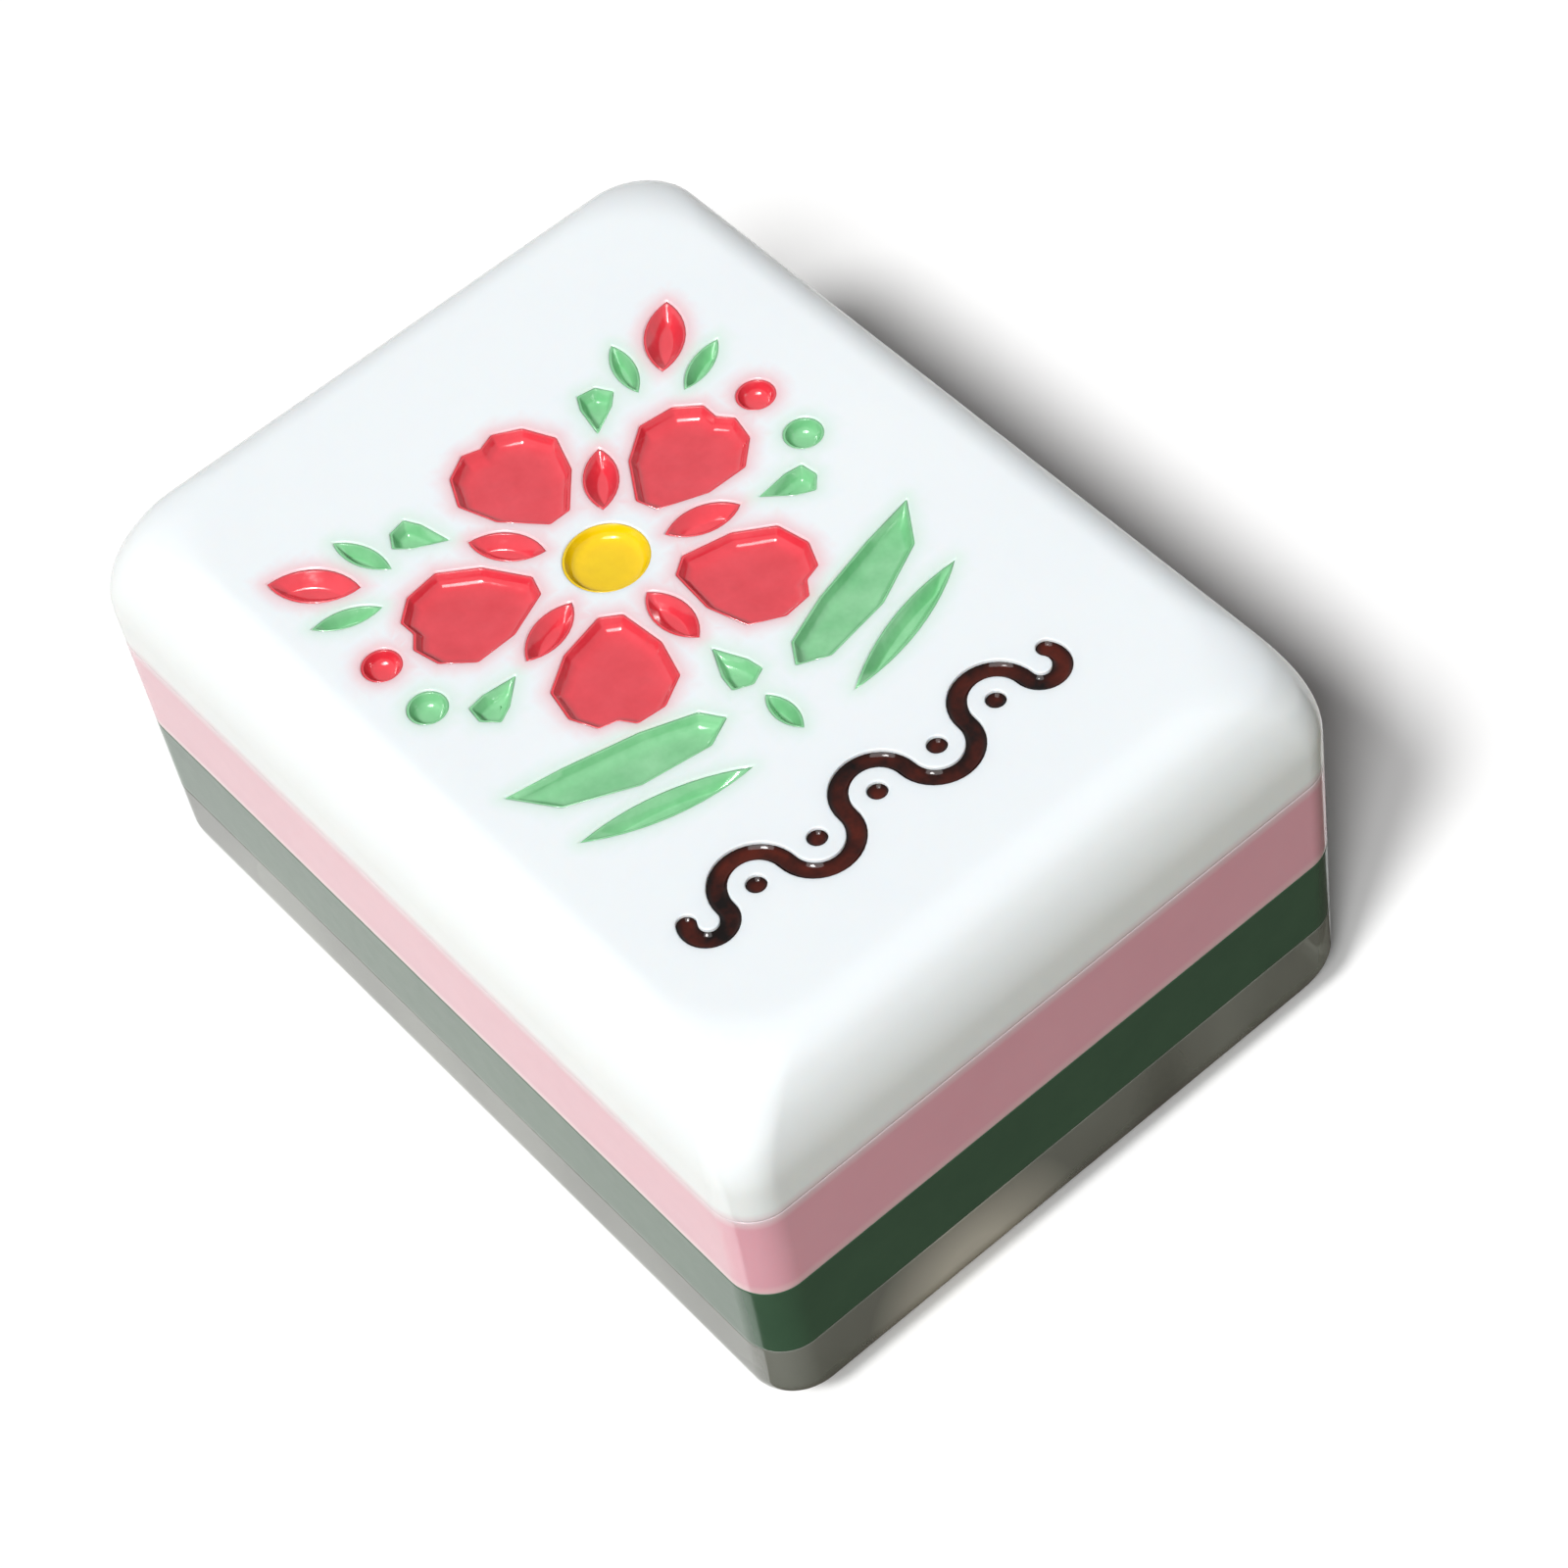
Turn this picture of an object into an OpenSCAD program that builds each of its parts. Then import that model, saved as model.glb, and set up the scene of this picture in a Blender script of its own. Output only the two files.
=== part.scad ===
/* [Body] */
// Width of the tile, across its two short sides
tile_w = 22.2; // [20:0.1:26]
// Length of the tile, along its two long sides
tile_l = 30; // [29:0.1:38]
// Thickness of the clear bottom layer
clear_t = 4.2; // [3.2:0.1:7]
// Thickness of the green layer
green_t = 3.2; // [1:0.1:6]
// Thickness of the pink layer
pink_t = 3.8; // [1:0.1:6]
// Thickness of the white face layer
white_t = 4.8; // [3.8:0.1:7]

/* [Edges] */
// Radius of the four upright corners
corner_r = 1.4; // [1:0.1:2.2]
// Width of the rounding round the face
top_in = 2; // [1.7:0.1:2.3]
// Radius with which the rounding of the top edge runs into the face
top_r = 1.5; // [1:0.1:1.6]
// Depth down the side at which the rounding of the top edge starts
top_drop = 3.5; // [3:0.1:4]
// Radius of the flat face's own corners, inside the rounding
face_corner_r = 3.2; // [2.4:0.1:4]
// Radius of the bottom edge
bottom_r = 2.3; // [0.5:0.1:2.6]
// Radius of the flat underside's own corners
foot_corner_r = 3.5; // [2.4:0.1:4.5]

/* [Engraved cells] */
// Depth of the cells below the face
cut_depth = 0.5; // [0.35:0.05:0.8]
// How far the sloping wall of a wide cell runs inwards on its way down
cut_run = 0.2; // [0.1:0.02:0.26]
// Width of the bare white strip between neighbouring cells
cell_gap = 0.45; // [0.35:0.05:0.6]
// Thickness of the paint that lines a cell
film_t = 0.07; // [0.04:0.01:0.09]
// How far below the face the paint in a cell stops
film_drop = 0.05; // [0.02:0.01:0.1]

/* [Blossom] */
// Distance of the artwork's middle to the left of the tile's middle
art_left = 0.8; // [0:0.1:0.9]
// Height of the blossom's middle above the tile's middle
blossom_y = 2.4; // [2:0.1:3]
// Radius of the yellow centre
centre_r = 1.3; // [1:0.05:1.4]
// Length of a slim inner petal
inner_l = 2.45; // [2:0.05:2.6]
// Width of a slim inner petal
inner_w = 1.15; // [0.9:0.05:1.25]
// Length of a wide petal
petal_l = 4; // [3.4:0.1:4.2]
// Width of a wide petal
petal_w = 3.7; // [2.8:0.1:3.9]
// Length of a green sepal between two petals
sepal_l = 1.9; // [1.4:0.05:2]
// Width of a green sepal
sepal_w = 1.15; // [0.9:0.05:1.25]

/* [Leaves and buds] */
// Length of the stem
stem_l = 1.7; // [1.3:0.05:2]
// Width of the stem
stem_w = 0.7; // [0.6:0.05:0.8]
// Rise of the leaves above the level
leaf_rise = 16; // [12:1:20]
// Length of a leaf's broad half
broad_l = 6.6; // [5:0.1:6.8]
// Width of a leaf's broad half
broad_w = 1.75; // [1.2:0.05:1.9]
// Length of a leaf's slim half
slim_l = 5.4; // [4:0.1:5.8]
// Width of a leaf's slim half
slim_w = 0.95; // [0.7:0.05:1.05]
// Length of a bud
bud_l = 2.9; // [2:0.05:3]
// Width of a bud
bud_w = 1.35; // [1:0.05:1.45]
// Length of the small leaf on each side of a bud
sprig_l = 2.2; // [1.6:0.05:2.3]
// Width of the small leaf on each side of a bud
sprig_w = 0.75; // [0.6:0.05:0.85]
// Distance of each bud's foot outwards from the shoulder of the side petal
bud_out = 0.15; // [0:0.05:0.3]
// Height of each bud's foot above the shoulder of the side petal
bud_up = 0.65; // [0.5:0.05:1]
// Lean of the buds away from upright
bud_lean = 42; // [30:1:50]
// Radius of a berry
berry_r = 0.62; // [0.4:0.02:0.66]
// Clear distance of the berries from the tips of the side petals
berry_gap = 0.5; // [0.4:0.05:0.6]

/* [Wave row] */
// Clear distance of the row below the slim halves of the leaves
row_gap = 1.2; // [0.8:0.05:1.6]
// Radius of each half wave, at the middle of the line
wave_r = 1.08; // [0.95:0.01:1.15]
// Number of half waves
wave_count = 5; // [2:1:5]
// Radius of the hook at each end of the row, at the middle of the line
hook_r = 0.6; // [0.45:0.01:0.7]
// How far round each hook turns
hook_turn = 215; // [90:5:240]
// Width of the engraved line
line_w = 0.58; // [0.4:0.02:0.66]
// Depth of the engraved line
line_depth = 0.45; // [0.35:0.05:0.7]
// How far below the face the paint in the line stops
line_drop = 0.1; // [0.02:0.01:0.2]
// Radius of the dot inside each half wave
dot_r = 0.3; // [0.2:0.01:0.34]

/* [Hidden] */
$fn = 64;
// How far cutting shapes stand above the face
overrun = 1;
// Flat steps along each side of a leaf-shaped cell
arc_steps = 10;
// Flat steps round each upright corner, and up each arc of the edge's rounding
corner_steps = 8;
edge_steps = 6;
// Share of a slim cell's half width that its sloping walls take up
crease_share = 0.7;
// Petals round the blossom, and the turn from one to the next
petal_count = 5;
petals = [1 : petal_count];
petal_turn = 360 / petal_count;
sides = ["left", "right"];

white_colour = [0.95, 0.97, 0.99];
pink_colour = [0.93, 0.72, 0.75];
green_colour = [0.13, 0.32, 0.22];
clear_colour = [0.78, 0.8, 0.76];
red_paint = [0.91, 0.32, 0.35];
green_paint = [0.55, 0.82, 0.6];
yellow_paint = [0.94, 0.82, 0.02];
brown_paint = [0.2, 0.06, 0.04];

// Levels of the joints between the layers, and of the face
green_z = clear_t;
pink_z = green_z + green_t;
white_z = pink_z + pink_t;
face_z = white_z + white_t;

// Distances between the centres of the upright corners
inner_tile_w = tile_w - 2 * corner_r;
inner_tile_l = tile_l - 2 * corner_r;

// Largest share of a rounding's width, or of a layer's thickness, that a radius takes up
fit_share = 0.97;
edge_drop = min(top_drop, fit_share * white_t);
face_r = min(top_r, fit_share * top_in, fit_share * edge_drop);
foot_r = min(bottom_r, fit_share * clear_t);

// The top rounding is two arcs that run into each other: a large one up from the side, with its
// centre level with its start, then one of radius face_r up to the face
join_turn = 2 * atan((top_in - face_r) / (edge_drop - face_r));
side_r = face_r + (edge_drop - face_r) / sin(join_turn);

// Places round the blossom, as distances from its middle
inner_start = centre_r + cell_gap;
sepal_start = inner_start + inner_l + cell_gap;
petal_start = centre_r + inner_l / 3;
petal_tip = petal_start + petal_l;
sepal_tip = sepal_start + sepal_l;
art_x = -art_left;
stem_top = blossom_y - sepal_tip - cell_gap;

// The leaves pass one cell gap below the tips of the two lowest petals
low_tip = [petal_tip * sin(petal_turn / 2), blossom_y - petal_tip * cos(petal_turn / 2)];
leaf_level = low_tip.y - cell_gap - broad_w / 2 / cos(leaf_rise) - low_tip.x * tan(leaf_rise);
leaf_foot = stem_w / 2 + 2 * cell_gap;
leaf_at = [art_x + leaf_foot, leaf_level + leaf_foot * tan(leaf_rise)];
slim_sink = broad_w / 2 + cell_gap + slim_w / 2;

leaf_low = leaf_at.y - (slim_sink + slim_w / 2) * cos(leaf_rise);

// The buds stand off the upper shoulders of the side petals, and the small leaves start beside a
// bud's foot and lean away from it by sprig_lean
shoulder_share = [0.88, 0.37];
shoulder = [petal_start + shoulder_share.x * petal_l, shoulder_share.y * petal_w];
bud_at = placed([shoulder], [art_x + bud_out, blossom_y + bud_up], 90 - petal_turn)[0];
sprig_lean = 25;

// The berries stand level with the tips of the two side petals, the green ones below the red ones
berry_x = petal_tip * sin(petal_turn) + berry_gap + berry_r;
berry_high = blossom_y + petal_tip * cos(petal_turn) - berry_r / 2;
berry_low = berry_high - 2 * berry_r - 2 * cell_gap;

// Outlines as shares of length and width, anticlockwise from the foot, which is at the left
petal_shares = [[0, -0.1], [0.3, -0.38], [0.62, -0.5], [0.88, -0.37], [1, -0.15], [0.95, 0],
  [1, 0.15], shoulder_share, [0.62, 0.5], [0.3, 0.38], [0, 0.1]];
sepal_shares = [[0, 0], [0.55, -0.42], [0.86, -0.5], [1, 0], [0.86, 0.5], [0.55, 0.42]];
broad_shares = [[0, 0.06], [0.12, -0.34], [0.46, -0.5], [0.8, -0.28], [1, 0.36],
  [0.72, 0.46], [0.36, 0.5], [0.1, 0.4]];

// Outline helpers

// A pointed leaf shape of two arcs, from its foot at the origin to its tip on the X axis, drawn in
// by d at the sides and by as much more at the points as their angle asks for
function leaf_outline(l, w, d) =
  let(r = (l * l + w * w) / (4 * w), half = asin(l / 2 / r), rise = r - w / 2,
    x_share = 1 - 2 * d / sin(half) / l, y_share = 1 - 2 * d / w)
  [for (way = [1, -1], i = [0 : arc_steps - 1]) let(t = half * (2 * i / arc_steps - 1))
    [l / 2 + way * x_share * r * sin(t), way * y_share * (rise - r * cos(t))]];

// An outline from its shares, with every edge moved inwards by d
function sized(shares, l, w, d) = inset([for (q = shares) [q.x * l, q.y * w]], d);

// Moves an outline by at, after turning it anticlockwise
function placed(outline, at, turn) = [for (q = outline)
  at + [q.x * cos(turn) - q.y * sin(turn), q.x * sin(turn) + q.y * cos(turn)]];

// Places an outline round the blossom's middle, with its foot at the distance start
function round_blossom(outline, start, turn) = placed(
  [for (q = outline) q + [start, 0]], [art_x, blossom_y], turn);

// Mirrors an outline across the artwork's middle line for the left side, and keeps it anticlockwise
function on_side(outline, side) = side == "right" ? outline :
  [for (i = [len(outline) - 1 : -1 : 0]) [2 * art_x - outline[i].x, outline[i].y]];

// Moves every edge of an anticlockwise outline inwards by d
function heading(p, i) = let(way = p[(i + 1) % len(p)] - p[i]) way / norm(way);
function inset(p, d) = [for (i = [0 : len(p) - 1])
  let(u = heading(p, (i + len(p) - 1) % len(p)), v = heading(p, i))
  p[i] + [-u.y - v.y, u.x + v.x] * d / (1 + u * v)];

// A cell's outline, which is a function of d, at a depth below the face
function ring(outline, d, depth) = [for (q = outline(d)) [q.x, q.y, face_z - depth]];

// A closed solid through a chain of rings, closed by its first and last ring
module ring_solid(rings) {
  n = len(rings[0]);
  last = len(rings) - 1;
  polyhedron(
    points = [for (r = rings) each r],
    faces = concat(
      [[for (i = [n - 1 : -1 : 0]) i]],
      [[for (i = [0 : n - 1]) last * n + i]],
      [for (k = [0 : last - 1], i = [0 : n - 1]) let(j = (i + 1) % n)
        [k * n + i, k * n + j, (k + 1) * n + j, (k + 1) * n + i]]));
}

// The cut for one cell, whose walls run inwards by run over the full depth
module cell_cut(outline, run) {
  slope = run / cut_depth;
  ring_solid([ring(outline, -slope * overrun, -overrun), ring(outline, run, cut_depth)]);
}

// The paint that lines one cell's floor and walls
module cell_paint(outline, run) {
  slope = run / cut_depth;
  ring_solid([
    ring(outline, slope * (cut_depth - film_t) + film_t, cut_depth - film_t),
    ring(outline, slope * film_drop + film_t, film_drop),
    ring(outline, slope * film_drop, film_drop),
    ring(outline, run, cut_depth)]);
}

// The cut for a round cell
module round_cut(r) {
  slope = cut_run / cut_depth;
  translate([0, 0, face_z - cut_depth])
    cylinder(r1 = r - cut_run, r2 = r + slope * overrun, h = cut_depth + overrun);
}

// The paint that lines a round cell
module round_paint(r) {
  slope = cut_run / cut_depth;
  floor_r = r - cut_run;
  rim_r = r - slope * film_drop;
  translate([0, 0, face_z - cut_depth]) rotate_extrude() polygon([
    [0, 0],
    [floor_r, 0],
    [rim_r, cut_depth - film_drop],
    [rim_r - film_t, cut_depth - film_drop],
    [floor_r - film_t + slope * film_t, film_t],
    [0, film_t]]);
}

// Cross-section of the round-bottomed groove of an engraved line, up to a level above the face
module groove_section(r, top) {
  intersection() {
    translate([0, r - line_depth]) circle(r = r);
    translate([-r, -line_depth]) square([2 * r, r]);
  }
  translate([-r, r - line_depth]) square([2 * r, line_depth - r + top]);
}

// The round end of a groove, or a whole dot
module groove_end(r, top) {
  rotate_extrude() intersection() {
    groove_section(r, top);
    translate([0, -line_depth]) square([r, line_depth + top]);
  }
}

// Outlines of the cells, each a function of the distance d by which its edge moves inwards

function petal_outline(i) = function(d) round_blossom(
  sized(petal_shares, petal_l, petal_w, d), petal_start, 90 + petal_turn * (i - 1));
function inner_outline(i) = function(d) round_blossom(
  leaf_outline(inner_l, inner_w, d), inner_start, 90 + petal_turn * (i - 0.5));
function sepal_outline(i) = function(d) round_blossom(
  sized(sepal_shares, sepal_l, sepal_w, d), sepal_start, 90 + petal_turn * (i - 0.5));
function stem_outline() = function(d)
  placed(leaf_outline(stem_l, stem_w, d), [art_x, stem_top], -90);
function broad_outline(side) = function(d) on_side(
  placed(sized(broad_shares, broad_l, broad_w, d), leaf_at, leaf_rise), side);
function slim_outline(side) = function(d) on_side(
  placed([for (q = leaf_outline(slim_l, slim_w, d)) q - [0, slim_sink]], leaf_at, leaf_rise), side);
function bud_outline(side) = function(d) on_side(
  placed([for (q = leaf_outline(bud_l, bud_w, d)) q + [sprig_w, 0]], bud_at, 90 - bud_lean), side);
function sprig_outline(side, way) = function(d) on_side(placed(
  placed(leaf_outline(sprig_l, sprig_w, d), [0, way * bud_w / 2], way * sprig_lean),
  bud_at, 90 - bud_lean), side);

// Middles of the berries and of the wave's parts
function side_sign(side) = side == "left" ? -1 : 1;
function red_berry_at(side) = [art_x + side_sign(side) * berry_x, berry_high];
function green_berry_at(side) = [art_x + side_sign(side) * berry_x, berry_low];
wave_start = [art_x - wave_count * wave_r, leaf_low - row_gap - line_w / 2 - wave_r];
function half_wave_at(i) = wave_start + [(2 * i - 1) * wave_r, 0];

// The wave line as a groove or as its paint, up to a level above the face
module wave_line(top) {
  for (i = [1 : wave_count])
    translate([half_wave_at(i).x, half_wave_at(i).y, face_z])
      rotate([0, 0, i % 2 == 1 ? 0 : 180])
        rotate_extrude(angle = 180) translate([wave_r, 0]) groove_section(line_w / 2, top);
  translate([wave_start.x, wave_start.y, face_z]) mirror([1, 0, 0]) wave_hook(top);
  translate([wave_start.x + 2 * wave_count * wave_r, wave_start.y, face_z])
    mirror([0, wave_count % 2 == 0 ? 1 : 0, 0]) wave_hook(top);
}

// The hook at the right end of a row that ends on its way down, with its start at the origin
module wave_hook(top) {
  translate([hook_r, 0, 0]) rotate([0, 0, 180]) {
    rotate_extrude(angle = hook_turn) translate([hook_r, 0]) groove_section(line_w / 2, top);
    rotate([0, 0, hook_turn]) translate([hook_r, 0, 0]) groove_end(line_w / 2, top);
  }
}

// A layer of the given thickness with upright sides and round corners
module layer(t) {
  translate([-inner_tile_w / 2, -tile_l / 2, 0]) cube([inner_tile_w, tile_l, t]);
  translate([-tile_w / 2, -inner_tile_l / 2, 0]) cube([tile_w, inner_tile_l, t]);
  for (x = [-1, 1], y = [-1, 1])
    translate([x * inner_tile_w / 2, y * inner_tile_l / 2, 0]) cylinder(r = corner_r, h = t);
}

// The tile's outline at a level, moved inwards, with corners of radius r
function tile_ring(inwards, r, z) =
  let(x = tile_w / 2 - inwards - r, y = tile_l / 2 - inwards - r)
  [for (k = [0 : 3], i = [0 : corner_steps]) let(t = 90 * (k + i / corner_steps))
    [(k == 1 || k == 2 ? -x : x) + r * cos(t), (k < 2 ? y : -y) + r * sin(t), z]];

// The same on the way up or down a rounding of the given width, where the corners grow as the
// outline shrinks, from the radius of the upright corners to end_r
function edge_ring(inwards, width, end_r, z) =
  tile_ring(inwards, corner_r + (end_r - corner_r) * inwards / width, z);

// Section of the top rounding as pairs of a distance inwards and a depth below the face
function top_curve() = concat(
  [for (i = [0 : edge_steps - 1]) let(t = 90 - (90 - join_turn) * i / edge_steps)
    [top_in - face_r * cos(t), face_r * (1 - sin(t))]],
  [for (i = [0 : edge_steps]) let(t = join_turn * (1 - i / edge_steps))
    [side_r * (1 - cos(t)), edge_drop - side_r * sin(t)]]);

// Section of the bottom rounding as pairs of a distance inwards and a height above the underside
function foot_curve() = [for (i = [0 : 2 * edge_steps]) let(t = 45 * i / edge_steps)
  [foot_r * (1 - cos(t)), foot_r * (1 - sin(t))]];

// Run of the sloping walls of a slim cell of the given width
function slim_run(w) = crease_share * w / 2;

// Every cell and groove that is cut into the face
module engraving() {
  translate([art_x, blossom_y, 0]) round_cut(centre_r);
  for (i = petals) {
    cell_cut(petal_outline(i), cut_run);
    cell_cut(inner_outline(i), slim_run(inner_w));
    cell_cut(sepal_outline(i), cut_run);
  }
  cell_cut(stem_outline(), slim_run(stem_w));
  for (side = sides) {
    cell_cut(broad_outline(side), cut_run);
    cell_cut(slim_outline(side), slim_run(slim_w));
    cell_cut(bud_outline(side), slim_run(bud_w));
    for (way = [-1, 1]) cell_cut(sprig_outline(side, way), slim_run(sprig_w));
    translate(red_berry_at(side)) round_cut(berry_r);
    translate(green_berry_at(side)) round_cut(berry_r);
  }
  wave_line(overrun);
  for (i = [1 : wave_count])
    translate([half_wave_at(i).x, half_wave_at(i).y, face_z]) groove_end(dot_r, overrun);
}

// The bonded layers

module clear_base() {
  color(clear_colour) ring_solid(concat([tile_ring(0, corner_r, clear_t)],
    [for (q = foot_curve()) edge_ring(q.x, foot_r, foot_corner_r, q.y)]));
}

module green_layer() {
  color(green_colour) translate([0, 0, green_z]) layer(green_t);
}

module pink_layer() {
  color(pink_colour) translate([0, 0, pink_z]) layer(pink_t);
}

module face_layer() {
  color(white_colour) difference() {
    ring_solid(concat([for (q = top_curve()) edge_ring(q.x, top_in, face_corner_r, face_z - q.y)],
      [tile_ring(0, corner_r, white_z)]));
    engraving();
  }
}

// The dried paint

module centre_paint() {
  color(yellow_paint) translate([art_x, blossom_y, 0]) round_paint(centre_r);
}

module petal_paint(i) {
  color(red_paint) cell_paint(petal_outline(i), cut_run);
}

module inner_petal_paint(i) {
  color(red_paint) cell_paint(inner_outline(i), slim_run(inner_w));
}

module sepal_paint(i) {
  color(green_paint) cell_paint(sepal_outline(i), cut_run);
}

module stem_paint() {
  color(green_paint) cell_paint(stem_outline(), slim_run(stem_w));
}

module leaf_broad_paint(side) {
  color(green_paint) cell_paint(broad_outline(side), cut_run);
}

module leaf_slim_paint(side) {
  color(green_paint) cell_paint(slim_outline(side), slim_run(slim_w));
}

module bud_paint(side) {
  color(red_paint) cell_paint(bud_outline(side), slim_run(bud_w));
}

module sprig_paint(side, way) {
  color(green_paint) cell_paint(sprig_outline(side, way), slim_run(sprig_w));
}

module berry_red_paint(side) {
  color(red_paint) translate(red_berry_at(side)) round_paint(berry_r);
}

module berry_green_paint(side) {
  color(green_paint) translate(green_berry_at(side)) round_paint(berry_r);
}

module wave_paint() {
  color(brown_paint) wave_line(-line_drop);
}

module wave_dot_paint(i) {
  color(brown_paint) translate([half_wave_at(i).x, half_wave_at(i).y, face_z])
    groove_end(dot_r, -line_drop);
}

clear_base();
green_layer();
pink_layer();
face_layer();
centre_paint();
for (i = petals) {
  petal_paint(i);
  inner_petal_paint(i);
  sepal_paint(i);
}
stem_paint();
for (side = sides) {
  leaf_broad_paint(side);
  leaf_slim_paint(side);
  bud_paint(side);
  sprig_paint(side, -1);
  sprig_paint(side, 1);
  berry_red_paint(side);
  berry_green_paint(side);
}
wave_paint();
for (i = [1 : wave_count]) {
  wave_dot_paint(i);
}
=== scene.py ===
# %% [markdown]
# # A mahjong tile of four bonded layers
#
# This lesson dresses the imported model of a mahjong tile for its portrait. The real tile is a
# sandwich: a clear foot, a deep green layer, a pink layer and a thick white face, bonded flat on
# flat and then rounded and polished as one block. A flower and a row of waves are engraved into the
# face, and every engraved cell is filled by brush with glossy paint.
#
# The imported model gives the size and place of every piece, so the script starts by loading it.

# %% Load the frame
import math
from collections import namedtuple

import bmesh
import bpy
from mathutils import Matrix, Vector
from mathutils.bvhtree import BVHTree


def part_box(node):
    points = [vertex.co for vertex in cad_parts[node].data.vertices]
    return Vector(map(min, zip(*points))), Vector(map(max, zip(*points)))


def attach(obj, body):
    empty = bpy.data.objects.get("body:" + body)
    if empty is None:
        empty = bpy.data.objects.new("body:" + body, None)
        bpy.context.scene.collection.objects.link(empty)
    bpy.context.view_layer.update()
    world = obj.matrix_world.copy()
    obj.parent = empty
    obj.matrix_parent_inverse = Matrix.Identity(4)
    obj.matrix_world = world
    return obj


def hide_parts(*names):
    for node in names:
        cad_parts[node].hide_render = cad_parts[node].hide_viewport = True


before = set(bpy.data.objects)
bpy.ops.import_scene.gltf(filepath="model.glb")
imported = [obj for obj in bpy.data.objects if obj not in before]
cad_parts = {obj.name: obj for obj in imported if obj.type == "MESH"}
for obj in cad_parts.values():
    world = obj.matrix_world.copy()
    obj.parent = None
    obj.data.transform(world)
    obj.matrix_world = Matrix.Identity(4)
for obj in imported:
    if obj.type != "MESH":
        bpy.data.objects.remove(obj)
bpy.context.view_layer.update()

print("CAD nodes:", len(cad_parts))

# %% [markdown]
# ## Sizes
#
# Blender works in metres, but its mesh tools keep absolute tolerances that are too coarse for a
# tile of 30 mm. So every mesh here is made in millimetres and scaled down once, when it becomes a
# piece. The levels of the joints and the size of the block come from the frame. The roundings and
# the artwork repeat the values that the solids were drawn with.

# %% Sizes of the block
MM = 0.001
SAME_SPOT = 0.0005  # points closer than this are one point
SAME_LEVEL = 0.001  # and points closer to a level or a cut than this lie on it


def level(node, end):
    """Height in mm of a node's lowest (end 0) or highest (end 1) point."""
    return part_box(node)[end].z / MM


CLEAR_Z = level("clear_base", 0)
GREEN_Z = level("green_layer", 0)
PINK_Z = level("pink_layer", 0)
WHITE_Z = level("face_layer", 0)
FACE_Z = level("face_layer", 1)
TILE_W = 2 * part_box("face_layer")[1].x / MM
TILE_L = 2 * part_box("face_layer")[1].y / MM

CORNER_R = 1.4  # the upright corners
TOP_IN = 2.0  # how far the face's rounding runs inwards
FACE_R = 1.5
EDGE_DROP = 3.5  # and how far down
FACE_CORNER_R = 3.2
FOOT_R = 2.3
FOOT_CORNER_R = 3.5
JOINT_R = 0.025
JOINT_HOLD = 0.1  # where the outline beside a joint lies
BOND_IN = 0.015  # how far the foot's top reaches into the green
print(f"block {TILE_W:.1f} x {TILE_L:.1f} x {FACE_Z:.1f} mm")
print(f"joints at {GREEN_Z:.1f}, {PINK_Z:.1f} and {WHITE_Z:.1f} mm")

# %% [markdown]
# ## Camera
#
# The view was matched to the photograph: the tile lies on its clear foot, and the camera looks down
# at a little over 50 degrees, towards the corner between a long and a short side. The camera, and
# later the lamps, are aimed by a turn and a rise, which are easier to read and to change than a
# matrix. Last, the camera rolls about its own axis.

# %% Camera
VIEW_TURN = 31.17
VIEW_RISE = 52.80
VIEW_ROLL = -11.62
VIEW_REACH = 128.6 * MM
VIEW_AIM = Vector((0.69, -2.17, 8.0)) * MM
LENS_MM = 100.4
SENSOR_MM = 36


def direction(turn, rise):
    """The way towards a turn (0 is -Y, 90 is -X) and a rise, both in degrees."""
    turn, rise = math.radians(turn), math.radians(rise)
    return Vector((
        -math.sin(turn) * math.cos(rise), -math.cos(turn) * math.cos(rise), math.sin(rise)))


def looking_back(way):
    """Aims a camera or a lamp, which look along their -Z, against a direction."""
    return (-way).to_track_quat("-Z", "Y").to_matrix().to_4x4()


camera_data = bpy.data.cameras.new("camera")
camera_data.sensor_width = SENSOR_MM
camera_data.lens = LENS_MM
camera_data.clip_start = 10 * MM
camera = bpy.data.objects.new("camera", camera_data)
bpy.context.scene.collection.objects.link(camera)
view_way = direction(VIEW_TURN, VIEW_RISE)
camera.matrix_world = (
    Matrix.Translation(VIEW_AIM + view_way * VIEW_REACH)
    @ looking_back(view_way)
    @ Matrix.Rotation(math.radians(VIEW_ROLL), 4, "Z")
)
bpy.context.scene.camera = camera
print("camera at", [round(v / MM, 1) for v in camera.location])

# %% [markdown]
# ## The block's outer skin
#
# All four layers share one outline, a rectangle with tight round corners. Polishing has worn the
# corners of the face and of the underside much rounder than the upright ones, so one section can't
# simply be swept round, and a bevel would give every corner the same form. Instead the outline is
# drawn again and again on the way up, a little smaller and with rounder corners each time, and each
# outline is bridged to the one before. A section tells how far inwards each outline lies at its
# height. It is a line whose corners are true arcs.

# %% Outlines of the block
CORNER_STEPS = 20
CORNERS = ((1, 1), (-1, 1), (-1, -1), (1, -1))


def spin(bm, geometry, centre, degrees, steps):
    """Spins geometry about an upright axis and returns what it ends as."""
    return bmesh.ops.spin(
        bm, geom=geometry, cent=centre, axis=(0, 0, 1), dvec=(0, 0, 0),
        angle=math.radians(degrees), steps=steps, space=Matrix.Identity(4),
        use_merge=abs(degrees) == 360, use_duplicate=False, use_normal_flip=False)["geom_last"]


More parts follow.
